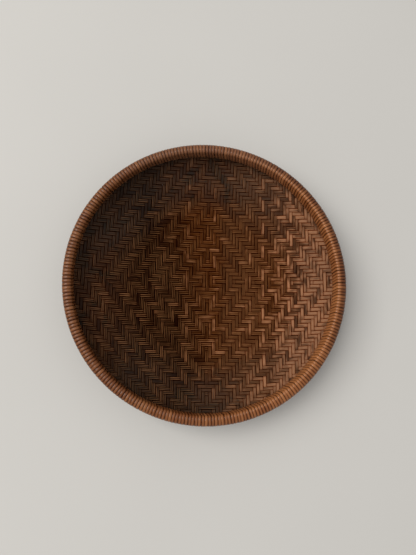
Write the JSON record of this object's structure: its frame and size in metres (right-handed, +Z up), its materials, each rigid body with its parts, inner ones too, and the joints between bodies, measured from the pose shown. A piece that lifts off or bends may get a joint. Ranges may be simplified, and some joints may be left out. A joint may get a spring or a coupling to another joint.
{
  "type": "woven basket",
  "caption": "Shallow round woven bamboo basket with a cane-bound hoop rim and splints under its base, for draining, drying and serving food.",
  "frame": {"origin": "on the ground under the centre of the basket, which stands mouth up on its lower splints", "axes": "+Z up out of the mouth, +Y along the upright strips of the weave, +X along the cross strips"},
  "size_m": [0.3, 0.3, 0.047],
  "materials": {
    "woven_bamboo": "aged dark brown bamboo, low sheen, fine lengthwise grain",
    "bamboo_lath": "split bamboo, raw and matt",
    "flat_cane": "reddish brown peeled cane, satin, worn paler on its crests",
    "bamboo_splint": "split bamboo, skin side out, rubbed where it stands"
  },
  "bodies": {
    "root": {"woven_bowl": "woven_bamboo", "inner_hoop": "bamboo_lath", "outer_hoop": "bamboo_lath", "rim_filler": "bamboo_lath", "binding_cane_1": "flat_cane", "binding_cane_2": "flat_cane", "binding_cane_3": "flat_cane", "binding_cane_4": "flat_cane", "upper_splint_front": "bamboo_splint", "upper_splint_back": "bamboo_splint", "lower_splint_right": "bamboo_splint", "lower_splint_left": "bamboo_splint"}
  },
  "joints": []
}
